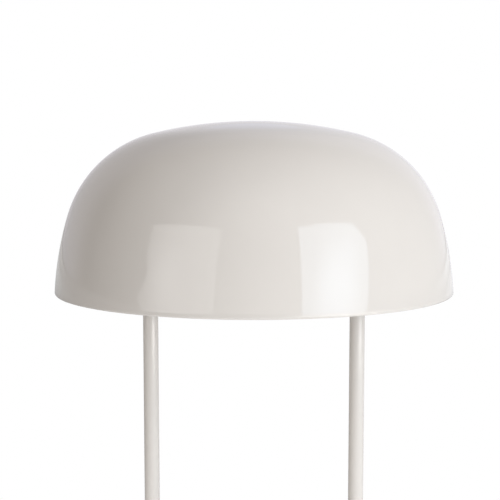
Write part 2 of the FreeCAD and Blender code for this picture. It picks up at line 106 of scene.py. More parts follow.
def ramp(nt, fac, stops):
    r = nt.nodes.new("ShaderNodeValToRGB")
    e = r.color_ramp.elements
    while len(e) < len(stops):
        e.new(0.5)
    for el, (pos, col) in zip(e, stops):
        el.position = pos
        el.color = (*col, 1.0) if len(col) == 3 else col
    nt.links.new(fac, r.inputs["Fac"])
    return r


def remap(nt, value, lo, hi, to_lo, to_hi):
    m = nt.nodes.new("ShaderNodeMapRange")
    m.inputs["From Min"].default_value = lo
    m.inputs["From Max"].default_value = hi
    m.inputs["To Min"].default_value = to_lo
    m.inputs["To Max"].default_value = to_hi
    nt.links.new(value, m.inputs["Value"])
    return m.outputs["Result"]


def bump(nt, height, strength, distance, normal=None):
    b = nt.nodes.new("ShaderNodeBump")
    b.inputs["Strength"].default_value = strength
    b.inputs["Distance"].default_value = distance
    nt.links.new(height, b.inputs["Height"])
    if normal is not None:
        nt.links.new(normal, b.inputs["Normal"])
    return b.outputs["Normal"]


def srgb(r, g, b):
    def f(c):
        c = c / 255.0
        return c / 12.92 if c <= 0.04045 else ((c + 0.055) / 1.055) ** 2.4
    return (f(r), f(g), f(b))


def scaled(c, k):
    return tuple(min(1.0, x * k) for x in c)


# ---------------------------------------------------------------- materials
CREAM = (0.710, 0.667, 0.617)


def clouded(nt, b, vec, colour, spread, scale, detail=3.0):
    """Links a colour that drifts a little over the surface."""
    c = noise_tex(nt, vec, scale, detail)
    r = ramp(nt, c.outputs["Fac"], [(0.30, scaled(colour, 1 - spread)), (0.70, scaled(colour, 1 + spread))])
    nt.links.new(r.outputs["Color"], b.inputs["Base Color"])
    return c


def stretched(nt, vec, sx, sy, sz):
    m = nt.nodes.new("ShaderNodeMapping")
    m.inputs["Scale"].default_value = (sx, sy, sz)
    nt.links.new(vec, m.inputs["Vector"])
    return m.outputs["Vector"]


def lacquer(name, colour, rough=0.045, peel=1.0):
    """Sprayed gloss lacquer: fine orange peel, a trace of cloudiness in the colour, and a slightly uneven gloss."""
    m, nt, out = new_material(name)
    vec = object_coords(nt)
    b = principled(nt, out, IOR=1.6)
    clouded(nt, b, vec, colour, 0.013, 14.0)
    gloss = noise_tex(nt, vec, 60.0, 2.0)
    nt.links.new(remap(nt, gloss.outputs["Fac"], 0.3, 0.7, rough * 0.85, rough * 1.2), b.inputs["Roughness"])
    fine = noise_tex(nt, vec, 520.0, 1.0)
    nt.links.new(bump(nt, fine.outputs["Fac"], 0.06 * peel, 0.00004), b.inputs["Normal"])
    return m


def powder(name, colour, rough, grain, lump):
    """Powder coat: lumps about a millimetre across under a finer grain."""
    m, nt, out = new_material(name)
    vec = object_coords(nt)
    b = principled(nt, out, IOR=1.5)
    clouded(nt, b, vec, colour, 0.014, 40.0)
    lumps = noise_tex(nt, vec, grain, 2.0)
    fine = noise_tex(nt, vec, grain * 4.3, 2.0, 0.6)
    nt.links.new(remap(nt, fine.outputs["Fac"], 0.25, 0.75, rough * 0.85, rough * 1.15), b.inputs["Roughness"])
    n1 = bump(nt, lumps.outputs["Fac"], lump, 0.0004)
    nt.links.new(bump(nt, fine.outputs["Fac"], lump * 0.6, 0.00012, n1), b.inputs["Normal"])
    return m


def plated(name, warm, cold, rough, streak=(1.0, 1.0, 1.0), scale=700.0, relief=0.08):
    """Plated metal: two tints that drift into each other, fine drawn streaks and an uneven sheen."""
    m, nt, out = new_material(name)
    vec = object_coords(nt)
    b = principled(nt, out, Metallic=1.0)
    drift = noise_tex(nt, vec, 130.0, 4.0, 0.6)
    r = ramp(nt, drift.outputs["Fac"], [(0.32, warm), (0.68, cold)])
    nt.links.new(r.outputs["Color"], b.inputs["Base Color"])
    lines = noise_tex(nt, stretched(nt, vec, *streak), scale, 3.0, 0.65)
    nt.links.new(remap(nt, lines.outputs["Fac"], 0.25, 0.75, rough * 0.7, rough * 1.35), b.inputs["Roughness"])
    nt.links.new(bump(nt, lines.outputs["Fac"], relief, 0.00006), b.inputs["Normal"])
    return m


def turned(name, warm, cold, rough, pitch=0.00022):
    """Metal finished on a lathe: fine rings of uneven depth about the upright axis."""
    m, nt, out = new_material(name)
    vec = object_coords(nt)
    b = principled(nt, out, Metallic=1.0)
    flat = stretched(nt, vec, 1.0, 1.0, 0.0)
    length = nt.nodes.new("ShaderNodeVectorMath")
    length.operation = "LENGTH"
    nt.links.new(flat, length.inputs[0])
    rings = nt.nodes.new("ShaderNodeTexNoise")
    rings.noise_dimensions = "1D"
    rings.inputs["Scale"].default_value = 1.0 / pitch
    rings.inputs["Detail"].default_value = 2.0
    nt.links.new(length.outputs["Value"], rings.inputs["W"])
    drift = noise_tex(nt, vec, 220.0, 3.0)
    r = ramp(nt, drift.outputs["Fac"], [(0.3, warm), (0.7, cold)])
    nt.links.new(r.outputs["Color"], b.inputs["Base Color"])
    nt.links.new(remap(nt, rings.outputs["Fac"], 0.2, 0.8, rough * 0.75, rough * 1.3), b.inputs["Roughness"])
    nt.links.new(bump(nt, rings.outputs["Fac"], 0.22, 0.00005), b.inputs["Normal"])
    return m


def plastic(name, colour, rough, grain=0.12, scale=1500.0, glow=0.0, depth=0.002, spread=0.018):
    """Moulded plastic: a fine eroded grain and faint flow clouds; glow is the light that gets under the skin."""
    m, nt, out = new_material(name)
    vec = object_coords(nt)
    b = principled(nt, out, IOR=1.5, Subsurface_Weight=glow, Subsurface_Scale=depth, Subsurface_Radius=(1.0, 0.95, 0.88))
    clouded(nt, b, vec, colour, spread, 70.0, 2.0)
    g = noise_tex(nt, vec, scale, 3.0, 0.6)
    nt.links.new(remap(nt, g.outputs["Fac"], 0.25, 0.75, rough * 0.85, rough * 1.18), b.inputs["Roughness"])
    nt.links.new(bump(nt, g.outputs["Fac"], grain, 0.00008), b.inputs["Normal"])
    return m


def cast_iron(name):
    """Rough casting under a thin dark paint, with pits and the odd bare, rusty high spot."""
    m, nt, out = new_material(name)
    vec = object_coords(nt)
    b = principled(nt, out, Specular_IOR_Level=0.35)
    skin = noise_tex(nt, vec, 260.0, 6.0, 0.62)
    r = ramp(nt, skin.outputs["Fac"], [(0.30, (0.018, 0.018, 0.019)), (0.58, (0.045, 0.045, 0.047)), (0.70, (0.085, 0.060, 0.045))])
    nt.links.new(r.outputs["Color"], b.inputs["Base Color"])
    nt.links.new(remap(nt, skin.outputs["Fac"], 0.3, 0.7, 0.55, 0.85), b.inputs["Roughness"])
    nt.links.new(bump(nt, skin.outputs["Fac"], 0.6, 0.0006), b.inputs["Normal"])
    return m


def rubber(name):
    """Matt rubber with a fine pebbled skin and a little dust in it."""
    m, nt, out = new_material(name)
    vec = object_coords(nt)
    b = principled(nt, out, IOR=1.5, Specular_IOR_Level=0.3)
    dust = noise_tex(nt, vec, 90.0, 5.0, 0.6)
    r = ramp(nt, dust.outputs["Fac"], [(0.35, (0.017, 0.017, 0.017)), (0.75, (0.046, 0.045, 0.043))])
    nt.links.new(r.outputs["Color"], b.inputs["Base Color"])
    v = nt.nodes.new("ShaderNodeTexVoronoi")
    v.inputs["Scale"].default_value = 1300.0
    nt.links.new(vec, v.inputs["Vector"])
    nt.links.new(remap(nt, dust.outputs["Fac"], 0.3, 0.7, 0.62, 0.82), b.inputs["Roughness"])
    nt.links.new(bump(nt, v.outputs["Distance"], 0.35, 0.0002), b.inputs["Normal"])
    return m


def glazed(name, colour, speck, rough):
    """Fired ceramic: a smooth glaze with small specks of the body showing."""
    m, nt, out = new_material(name)
    vec = object_coords(nt)
    b = principled(nt, out, IOR=1.55)
    n = noise_tex(nt, vec, 1900.0, 2.0, 0.7)
    r = ramp(nt, n.outputs["Fac"], [(0.28, speck), (0.36, colour), (1.0, scaled(colour, 1.02))])
    nt.links.new(r.outputs["Color"], b.inputs["Base Color"])
    wave = noise_tex(nt, vec, 180.0, 2.0)
    nt.links.new(remap(nt, wave.outputs["Fac"], 0.3, 0.7, rough * 0.7, rough * 1.4), b.inputs["Roughness"])
    nt.links.new(bump(nt, wave.outputs["Fac"], 0.15, 0.0002), b.inputs["Normal"])
    return m


def insulation(name, colour, stripe=None):
    """Extruded wire insulation with faint die lines; a stripe runs along both sides where one is given."""
    m, nt, out = new_material(name)
    vec = object_coords(nt)
    b = principled(nt, out, IOR=1.5)
    if stripe is None:
        clouded(nt, b, vec, colour, 0.07, 240.0)
    else:
        tc = nt.nodes.new("ShaderNodeTexCoord")
        sep = nt.nodes.new("ShaderNodeSeparateXYZ")
        nt.links.new(tc.outputs["Normal"], sep.inputs["Vector"])
        side = nt.nodes.new("ShaderNodeMath")
        side.operation = "ABSOLUTE"
        nt.links.new(sep.outputs["Y"], side.inputs[0])
        r = ramp(nt, side.outputs["Value"], [(0.60, colour), (0.64, stripe)])
        nt.links.new(r.outputs["Color"], b.inputs["Base Color"])
    die = noise_tex(nt, stretched(nt, vec, 1.0, 1.0, 0.08), 2600.0, 2.0)
    nt.links.new(remap(nt, die.outputs["Fac"], 0.25, 0.75, 0.34, 0.5), b.inputs["Roughness"])
    nt.links.new(bump(nt, die.outputs["Fac"], 0.10, 0.00005), b.inputs["Normal"])
    return m


mat_cream = lacquer("cream_lacquer", CREAM)
mat_inner = powder("inner_white", (0.87, 0.855, 0.83), 0.36, 620.0, 0.10)
FINISH = {
    "cream_lacquer": mat_cream,
    "white_lacquer": powder("white_lacquer", (0.79, 0.78, 0.755), 0.30, 700.0, 0.12),
    "zinc_steel": plated("zinc_steel", (0.66, 0.655, 0.62), (0.60, 0.63, 0.66), 0.30, scale=900.0),
    "ballast_iron": cast_iron("ballast_iron"),
    "black_sheet": powder("black_sheet", (0.030, 0.030, 0.031), 0.46, 900.0, 0.45),
    "rubber_foot": rubber("rubber_foot"),
    "cream_plastic": plastic("cream_plastic", (0.685, 0.645, 0.590), 0.24, 0.05, 2600.0, 0.08, 0.0015),
    "satin_nickel": turned("satin_nickel", (0.70, 0.665, 0.61), (0.74, 0.72, 0.69), 0.27),
    "block_plastic": plastic("block_plastic", (0.72, 0.72, 0.70), 0.42, 0.18, 1200.0, 0.25, 0.003, 0.03),
    "brass": plated("brass", (0.80, 0.58, 0.26), (0.86, 0.68, 0.36), 0.22, scale=1200.0),
    "holder_plastic": plastic("holder_plastic", (0.78, 0.765, 0.735), 0.34, 0.16, 1300.0, 0.05, 0.0015),
    "ceramic": glazed("ceramic", (0.83, 0.82, 0.79), (0.62, 0.59, 0.55), 0.16),
    "cap_nickel": plated("cap_nickel", (0.70, 0.68, 0.64), (0.76, 0.75, 0.73), 0.19, (1.0, 1.0, 6.0), 420.0, 0.05),
    "cap_glaze": glazed("cap_glaze", (0.014, 0.014, 0.018), (0.035, 0.033, 0.04), 0.08),
    "bulb_white": plastic("bulb_white", (0.84, 0.84, 0.825), 0.30, 0.08, 1600.0, 0.10, 0.0015, 0.010),
    "board": plastic("board", (0.70, 0.73, 0.69), 0.38, 0.20, 900.0, 0.0, 0.001, 0.05),
    "opal": plastic("opal", (0.90, 0.895, 0.875), 0.30, 0.05, 1100.0, 0.75, 0.006, 0.008),
    "wire_brown": insulation("wire_brown", (0.115, 0.042, 0.016)),
    "wire_blue": insulation("wire_blue", (0.020, 0.075, 0.30)),
    "wire_green": insulation("wire_green", (0.035, 0.22, 0.045), (0.78, 0.62, 0.06)),
}

# ---------------------------------------------------------------- mesh helpers


def mesh_object(name, verts, faces, mats, smooth=True, face_mats=None):
    me = bpy.data.meshes.new(name)
    me.from_pydata(verts, [], faces)
    for m in mats:
        me.materials.append(m)
    if face_mats:
        me.polygons.foreach_set("material_index", face_mats)
    if smooth:
        me.polygons.foreach_set("use_smooth", [True] * len(me.polygons))
    me.validate()
    me.update()
    o = bpy.data.objects.new(name, me)
    scene.collection.objects.link(o)
    return o


def lathe(name, profile, segments, mats, x=0.0, y=0.0, closed=True, zone=None, wobble=None, sharp=None):
    """A turned solid. profile is a list of (r, z) in mm, in order round the section; a point with r 0 lies on the axis.
    zone gives the material index of the band that starts at each profile point. wobble moves a point (r, z, angle) a little.
    Edges that turn by more than sharp degrees stay crisp."""
    verts, rows = [], []
    for r, z in profile:
        if r < 1e-6:
            rows.append([len(verts)])
            verts.append((x * MM, y * MM, z * MM))
        else:
            row = []
            for k in range(segments):
                a = 2 * math.pi * k / segments
                rr, zz = (r, z) if wobble is None else wobble(r, z, a)
                row.append(len(verts))
                verts.append(((x + rr * math.cos(a)) * MM, (y + rr * math.sin(a)) * MM, zz * MM))
            rows.append(row)
    faces, face_mats = [], []
    n = len(rows)
    for i in range(n if closed else n - 1):
        a, b = rows[i], rows[(i + 1) % n]
        mi = zone[i] if zone else 0
        if len(a) == 1 and len(b) == 1:
            continue
        for k in range(segments):
            k2 = (k + 1) % segments
            if len(a) == 1:
                f = (a[0], b[k2], b[k])
            elif len(b) == 1:
                f = (a[k], a[k2], b[0])
            else:
                f = (a[k], a[k2], b[k2], b[k])
            faces.append(f)
            face_mats.append(mi)
    o = mesh_object(name, verts, faces, mats, True, face_mats)
    bm = bmesh.new()
    bm.from_mesh(o.data)
    bmesh.ops.recalc_face_normals(bm, faces=bm.faces)
    bm.to_mesh(o.data)
    bm.free()
    if sharp is not None:
        o.data.set_sharp_from_angle(angle=math.radians(sharp))
    return o


def rounded(points, n=4):
    """A section in which a corner (r, z, f) is rounded to radius f."""
    out = []
    for i, p in enumerate(points):
        if len(p) < 3:
            out.append(p)
            continue
        c = Vector(p[:2])
        v1 = (Vector(points[i - 1][:2]) - c).normalized()
        v2 = (Vector(points[(i + 1) % len(points)][:2]) - c).normalized()
        half = math.acos(max(-1.0, min(1.0, v1.dot(v2)))) / 2
        t = p[2] / math.tan(half)
        mid = c + (v1 + v2).normalized() * (p[2] / math.sin(half))
        s, e = c + v1 * t - mid, c + v2 * t - mid
        a0 = math.atan2(s.y, s.x)
        d = (math.atan2(e.y, e.x) - a0 + math.pi) % (2 * math.pi) - math.pi
        out += [(mid.x + p[2] * math.cos(a0 + d * k / n), mid.y + p[2] * math.sin(a0 + d * k / n)) for k in range(n + 1)]
    return out


def lay_along_y(o, z):
    """Turns a piece from the upright axis to the one that runs to the back at height z."""
    o.data.transform(Matrix.Translation((0, 0, z * MM)) @ Matrix.Rotation(math.radians(-90), 4, "X"))
    o.data.update()
    return o


def drill(o, cutters, sharp=30):
    """Cuts holes in a piece and keeps only the result."""
    for c in cutters:
        m = o.modifiers.new("hole", "BOOLEAN")
        m.operation = "DIFFERENCE"
        m.solver = "EXACT"
        m.object = c
    bpy.context.view_layer.update()
    me = bpy.data.meshes.new_from_object(o.evaluated_get(bpy.context.evaluated_depsgraph_get()))
    old = o.data
    o.modifiers.clear()
    o.data = me
    bpy.data.meshes.remove(old)
    me.name = o.name
    for c in cutters:
        cm = c.data
        bpy.data.objects.remove(c)
        bpy.data.meshes.remove(cm)
    bm = bmesh.new()
    bm.from_mesh(me)
    bmesh.ops.remove_doubles(bm, verts=bm.verts, dist=2e-6)
    bmesh.ops.dissolve_degenerate(bm, edges=bm.edges, dist=2e-6)
    bm.to_mesh(me)
    bm.free()
    me.set_sharp_from_angle(angle=math.radians(sharp))
    return o


def hole(r, z0, z1, mat, x=0.0, y=0.0, segments=48):
    """A cutter, turned a little so that its corners don't fall on the edges of what it cuts."""
    o = lathe("hole_cutter", [(0.0, z0), (r, z0), (r, z1), (0.0, z1)], segments, [mat], x=x, y=y, closed=False)
    c = Vector((x * MM, y * MM, 0.0))
    o.data.transform(Matrix.Translation(c) @ Matrix.Rotation(math.radians(1.37), 4, "Z") @ Matrix.Translation(-c))
    return o


def plate(name, outlines, z0, z1, edge, mat):
    """A flat plate with holes and eased edges. outlines are lists of (x, y) in mm, the outer one first."""
    cu = bpy.data.curves.new(name, "CURVE")
    cu.dimensions = "2D"
    cu.fill_mode = "BOTH"
    cu.extrude = ((z1 - z0) / 2 - edge) * MM
    cu.bevel_depth = edge * MM
    cu.bevel_resolution = 2
    cu.offset = -edge * MM
    for pts in outlines:
        sp = cu.splines.new("POLY")
        sp.points.add(len(pts) - 1)
        for q, (px, py) in zip(sp.points, pts):
            q.co = (px * MM, py * MM, 0.0, 1.0)
        sp.use_cyclic_u = True
    tmp = bpy.data.objects.new(name + "_curve", cu)
    scene.collection.objects.link(tmp)
    bpy.context.view_layer.update()
    me = bpy.data.meshes.new_from_object(tmp.evaluated_get(bpy.context.evaluated_depsgraph_get()))
    bpy.data.objects.remove(tmp)
    bpy.data.curves.remove(cu)
    me.name = name
    bm = bmesh.new()
    bm.from_mesh(me)
    bmesh.ops.remove_doubles(bm, verts=bm.verts, dist=1e-6)
    bmesh.ops.recalc_face_normals(bm, faces=bm.faces)
    bm.to_mesh(me)
    bm.free()
    me.transform(Matrix.Translation((0, 0, (z0 + z1) / 2 * MM)))
    me.materials.clear()
    me.materials.append(mat)
    me.polygons.foreach_set("use_smooth", [True] * len(me.polygons))
    me.set_sharp_from_angle(angle=math.radians(50))
    me.update()
    o = bpy.data.objects.new(name, me)
    scene.collection.objects.link(o)
    return o


def sweep(name, path, r, sides, mats):
    """A round bar along a list of points in mm, closed at both ends."""
    pts = [Vector(q) for q in path]
    verts, faces = [], []
    up = Vector((0, 0, 1))
    for i, q in enumerate(pts):
        t = (pts[min(i + 1, len(pts) - 1)] - pts[max(i - 1, 0)]).normalized()
        side = t.cross(up).normalized()
        top = side.cross(t)
        for k in range(sides):
            a = 2 * math.pi * k / sides
            verts.append((q + side * (r * math.cos(a)) + top * (r * math.sin(a))) * MM)
    for i in range(len(pts) - 1):
        for k in range(sides):
            k2 = (k + 1) % sides
            faces.append((i * sides + k, i * sides + k2, (i + 1) * sides + k2, (i + 1) * sides + k))
    faces.append(tuple(reversed(range(sides))))
    faces.append(tuple((len(pts) - 1) * sides + k for k in range(sides)))
    o = mesh_object(name, [tuple(v) for v in verts], faces, mats)
    bm = bmesh.new()
    bm.from_mesh(o.data)
    bmesh.ops.recalc_face_normals(bm, faces=bm.faces)
    bm.to_mesh(o.data)
    bm.free()
    o.data.set_sharp_from_angle(angle=math.radians(50))
    return o


def put(piece, body, slot, *stands_for):
    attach(piece, body)
    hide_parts(*stands_for)
    return piece


def on_arc(c, r, deg):
    a = math.radians(deg)
    return (c[0] + r * math.sin(a), c[1] + r * math.cos(a))


def arc(c, r, a0, a1, n):
    """n + 1 points along an arc; angles of the outward normal from the vertical, in degrees."""
    return [on_arc(c, r, a0 + (a1 - a0) * i / n) for i in range(n + 1)]


def join(*runs):
    pts = []
    for run in runs:
        for p in run:
            if not pts or math.hypot(p[0] - pts[-1][0], p[1] - pts[-1][1]) > 1e-5:
                pts.append(p)
    return pts


# ---------------------------------------------------------------- shade
c1 = (0.0, LAMP_H - CROWN_R)
c2 = on_arc(c1, CROWN_R - SHOULDER_R, CROWN_A)
c3 = on_arc(c2, SHOULDER_R - WALL_R, SHOULDER_A)
LIP_R = HEM_T / 2
RIM_Z = LAMP_H - SHADE_H
WALL_A = math.degrees(math.acos((RIM_Z + LIP_R - c3[1]) / WALL_R))
HEM_A = WALL_A - math.degrees(HEM_H / WALL_R)
lip_c = on_arc(c3, WALL_R - LIP_R, WALL_A)

outer = join(arc(c1, CROWN_R, 0, CROWN_A, 14), arc(c2, SHOULDER_R, CROWN_A, SHOULDER_A, 34), arc(c3, WALL_R, SHOULDER_A, WALL_A, 24))
lip = [(lip_c[0] + LIP_R * math.cos(math.radians(90 - WALL_A + t)), lip_c[1] + LIP_R * math.sin(math.radians(90 - WALL_A + t))) for t in [-180.0 * i / 14 for i in range(1, 15)]]
inner = join(arc(c3, WALL_R - HEM_T, WALL_A, HEM_A, 5), arc(c3, WALL_R - SHEET_T, HEM_A - 0.35, SHOULDER_A, 18),
             arc(c2, SHOULDER_R - SHEET_T, SHOULDER_A, CROWN_A, 30), arc(c1, CROWN_R - SHEET_T, CROWN_A, 0, 12))
profile = join(outer, lip, inner)
profile[0] = (0.0, LAMP_H)
profile[-1] = (0.0, LAMP_H - SHEET_T)
hem_end = len(outer) + len(lip) + 5
zones = [0 if i < hem_end else 1 for i in range(len(profile))]


def sheet_wave(r, z, a):
    """The sheet isn't perfectly true: long shallow swells, a few hundredths of a millimetre deep, that die out towards the crown."""
    k = min(1.0, max(0.0, (r - 60.0) / 60.0))
    q = Vector((3.1 * math.cos(a), 3.1 * math.sin(a), z / 46.0))
    return r + k * (0.075 * noise.noise(q) + 0.030 * noise.noise(q * 2.7 + Vector((7.0, 3.0, 1.0)))), z


shade = lathe("shade_skin", profile, 360, [mat_cream, mat_inner], closed=False, zone=zones, wobble=sheet_wave)
put(shade, "lamp", "cream_lacquer", "shade")

# ---------------------------------------------------------------- stems
for side, node in ((-1, "left_stem"), (1, "right_stem")):
    p = rounded([(TAP_R, STEM_TOP_Z), (STEM_R, STEM_TOP_Z, 0.4), (STEM_R, BASE_H, 0.4), (TAP_R, BASE_H), (TAP_R, BASE_H + TAP_L),
                 (STEM_BORE_R, BASE_H + TAP_L), (STEM_BORE_R, STEM_TOP_Z - TAP_L), (TAP_R, STEM_TOP_Z - TAP_L)])
    put(lathe(node + "_tube", p, 72, [mat_cream], x=side * STEM_X, sharp=40), "lamp", "cream_lacquer", node)

# ---------------------------------------------------------------- base
p = rounded([(0.0, BASE_H), (30.0, BASE_H), (70.0, BASE_H), (96.0, BASE_H), (BASE_R, BASE_H, BASE_EDGE_R), (BASE_R, BASE_SKIRT_Z, 0.6), (BASE_R - SHELL_T, BASE_SKIRT_Z),
             (BASE_R - SHELL_T, BASE_H - SHELL_T, BASE_EDGE_R - SHELL_T), (96.0, BASE_H - SHELL_T), (70.0, BASE_H - SHELL_T), (30.0, BASE_H - SHELL_T), (0.0, BASE_H - SHELL_T)], 14)
base = lathe("base_shell_skin", p, 288, [mat_cream], closed=False)
inlet_hole = hole(4.3, 98.0, 118.0, mat_cream)
drill(base, [hole(5.1, BASE_H - 4, BASE_H + 2, mat_cream, x=-STEM_X), hole(5.1, BASE_H - 4, BASE_H + 2, mat_cream, x=STEM_X),
             hole(9.1, BASE_H - 4, BASE_H + 2, mat_cream, segments=72), lay_along_y(inlet_hole, INLET_Z)])
put(base, "lamp", "cream_lacquer", "base_shell")

# anti-slip foot: a ring with four shallow grooves underneath
p = [(86.0, 2.5), (104.0, 2.5), (104.0, 0.0, 0.6)]
for rc in (100.2, 96.8, 93.4, 90.0):
    p += [(rc + 0.8, 0.0), (rc + 0.5, 0.6), (rc - 0.5, 0.6), (rc - 0.8, 0.0)]
p += [(86.0, 0.0, 0.6)]
put(lathe("foot_ring_pad", rounded(p), 240, [FINISH["rubber_foot"]], sharp=40), "lamp", "rubber_foot", "foot_ring")

# cable inlet bush, with a rounded mouth
p = rounded([(3.0, 98.0), (4.2, 98.0, 0.3), (4.2, 109.75), (5.5, 109.75), (5.5, 110.6), (4.7, 114.0, 0.7), (3.0, 114.0, 0.7)], 6)
bush = lathe("inlet_bush", p, 96, [FINISH["cream_plastic"]], sharp=40)
put(lay_along_y(bush, INLET_Z), "lamp", "cream_plastic", "cable_inlet_bush")

# ---------------------------------------------------------------- push switch
p = rounded([(0.0, 9.5), (9.0, 9.5, 0.3), (9.0, BASE_H), (12.5, BASE_H, 0.15), (12.5, 23.8, 1.0), (10.3, 23.8), (10.15, 23.62), (9.55, 23.62), (9.4, 23.8),
             (7.0, 23.8, 0.45), (7.0, 20.8), (7.8, 20.8), (7.8, 11.0), (0.0, 11.0)], 6)
put(lathe("switch_bezel", p, 128, [FINISH["satin_nickel"]], closed=False, sharp=35), "lamp", "satin_nickel", "switch_body")
dish_r = (5.7 ** 2 + 0.4 ** 2) / 0.8
dish = [(5.7 * k / 8, 26.5 + dish_r - math.sqrt(dish_r ** 2 - (5.7 * k / 8) ** 2)) for k in range(8)]
rim = [(5.7 + math.sin(math.radians(a)), 25.9 + math.cos(math.radians(a))) for a in range(0, 91, 10)]
p = dish + rim + [(6.7, 20.4), (7.5, 20.4), (7.5, 17.5), (4.6, 17.5), (4.6, 14.5), (0.0, 14.5)]
put(lathe("switch_cap", p, 112, [FINISH["cream_plastic"]], closed=False, sharp=40), "button", "cream_plastic", "switch_button")

# return spring: open coils with a closed turn at each end
coil_pts = []
COIL_Z0, COIL_Z1, COIL_R, COIL_WIRE = 11.38, 17.1, 6.1, 0.35
turns = 5.5
for k in range(int(turns * 40) + 1):
    t = k / (turns * 40)
    lift = min(1.0, max(0.0, (t * turns - 0.8) / (turns - 1.6)))
    coil_pts.append((COIL_R * math.cos(2 * math.pi * turns * t), COIL_R * math.sin(2 * math.pi * turns * t), COIL_Z0 + (COIL_Z1 - COIL_Z0) * (0.13 * min(1.0, t * turns / 0.8) + 0.74 * lift + 0.13 * min(1.0, max(0.0, (t * turns - turns + 0.8) / 0.8)))))
spring = put(sweep("switch_coil", coil_pts, COIL_WIRE, 12, [FINISH["zinc_steel"]]), "lamp", "zinc_steel", "switch_spring")
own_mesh(spring)

# ---------------------------------------------------------------- carrier under the shade
def ring_of(x, y, r, n):
    return [(x + r * math.cos(2 * math.pi * k / n), y + r * math.sin(2 * math.pi * k / n)) for k in range(n)]


outline = [(STEM_X + 15.0 * math.cos(math.radians(a)), 15.0 * math.sin(math.radians(a))) for a in range(-90, 91, 5)]
outline += [(-STEM_X + 15.0 * math.cos(math.radians(a)), 15.0 * math.sin(math.radians(a))) for a in range(90, 271, 5)]
holes = [ring_of(-STEM_X, 0, 5.1, 40), ring_of(0, 0, 5.1, 40), ring_of(STEM_X, 0, 5.1, 40), ring_of(-57.0, 0, 2.05, 24)]
put(plate("bridge_bar", [outline] + holes, STEM_TOP_Z, STEM_TOP_Z + 3.0, 0.4, FINISH["white_lacquer"]), "lamp", "white_lacquer", "bridge")


def helical(r_out, depth, pitch, z0, z1, lead):
    """A right-hand thread between z0 and z1 that runs out at both ends; for points on the outside only."""
    def move(r, z, a):
        if r < r_out - 1e-3 or not z0 < z < z1:
            return r, z
        t = (z / pitch - a / (2 * math.pi)) % 1.0
        full = 0.5 - 0.5 * math.cos(2 * math.pi * t)
        return r - depth * max(full, 1.0 - min(1.0, (z - z0) / lead, (z1 - z) / lead)), z
    return move


# centre tube, threaded at both ends, with its side outlet in a plain waist
NIPPLE_Z0, WAIST_Z0, WAIST_Z1, NIPPLE_Z1, NIPPLE_R, NIPPLE_BORE = 382.6, 404.0, 412.0, 424.0, 4.97, 3.5
end_threads = [(z0, z1, helical(NIPPLE_R, 0.5, 1.0, z0, z1, 0.8)) for z0, z1 in ((NIPPLE_Z0, WAIST_Z0), (WAIST_Z1, NIPPLE_Z1))]


def two_threads(r, z, a):
    return end_threads[0 if z < WAIST_Z0 else 1][2](r, z, a)


p = [(NIPPLE_R - 0.55, NIPPLE_Z0)]
for z0, z1, _ in end_threads:
    steps = int((z1 - z0) * 8)
    p += [(NIPPLE_R, z0 + (z1 - z0) * k / steps) for k in range(1, steps)]
    p += [(NIPPLE_R - 0.5, WAIST_Z0), (NIPPLE_R - 0.5, WAIST_Z1)] if z0 == NIPPLE_Z0 else []
p += [(NIPPLE_R - 0.55, NIPPLE_Z1)] + [(NIPPLE_BORE, z) for z in (NIPPLE_Z1, WAIST_Z1, WAIST_Z0, NIPPLE_Z0)]
nipple = lathe("centre_nipple_thread", p, 56, [FINISH["zinc_steel"]], wobble=two_threads)
outlet = hole(3.45, -7.0, 0.0, FINISH["zinc_steel"])
outlet.data.transform(Matrix.Translation((0, 0, 0.408)) @ Matrix.Rotation(math.radians(90), 4, "Y"))
put(drill(nipple, [outlet], 45), "lamp", "zinc_steel", "centre_nipple")

# ---------------------------------------------------------------- lamp holder skirt, with a ribbed grip ring
p = rounded([(19.5, 364.5, 0.4), (19.5, 355.9), (20.4, 355.4, 0.3), (20.4, 352.2, 0.3), (19.5, 351.7), (19.5, 336.0, 1.5), (14.5, 336.0, 0.5), (14.5, 338.6), (17.2, 338.6), (17.2, 364.5)], 6)


def ribs(r, z, a):
    return (r - 0.42 * (0.5 - 0.5 * math.cos(72 * a)), z) if r > 19.95 else (r, z)


put(lathe("holder_skirt_shell", p, 432, [FINISH["holder_plastic"]], wobble=ribs, sharp=40), "lamp", "holder_plastic", "holder_skirt")

# ---------------------------------------------------------------- bulb cap with a rolled helical thread
p = [(11.4, 333.5), (13.2, 333.5), (13.2, 333.9), (12.2, 334.3)] + [(12.2, 334.3 + 19.6 * k / 98) for k in range(1, 98)] + [(12.2, 353.9), (10.9, 355.2), (10.6, 355.5), (10.1, 355.5), (10.1, 352.3), (11.4, 352.3)]


def cap_thread(r, z, a):
    if abs(r - 12.2) > 1e-6 or not 334.31 < z < 353.89:
        return r, z
    t = (z / 3.63 - a / (2 * math.pi)) % 1.0
    ends = min(1.0, (z - 334.3) / 1.6, (353.9 - z) / 1.6)
    return r + 0.9 * ends * (0.5 - 0.5 * math.cos(2 * math.pi * t)), z


put(lathe("bulb_thread_cap", p, 96, [FINISH["cap_nickel"]], wobble=cap_thread, sharp=45), "bulb", "cap_nickel", "bulb_screw_cap")

# ---------------------------------------------------------------- rolled brass thread of the holder, which runs in the valleys of the cap's thread
def sleeve_thread(r, z, a):
    if min(abs(r - 13.7), abs(r - 14.3)) > 1e-6 or not 339.01 < z < 360.29:
        return r, z
    t = (z / 3.63 - a / (2 * math.pi)) % 1.0
    ends = min(1.0, (z - 339.0) / 1.2, (360.3 - z) / 1.2)
    return r - 0.75 * ends * (0.5 + 0.5 * math.cos(2 * math.pi * t)), z


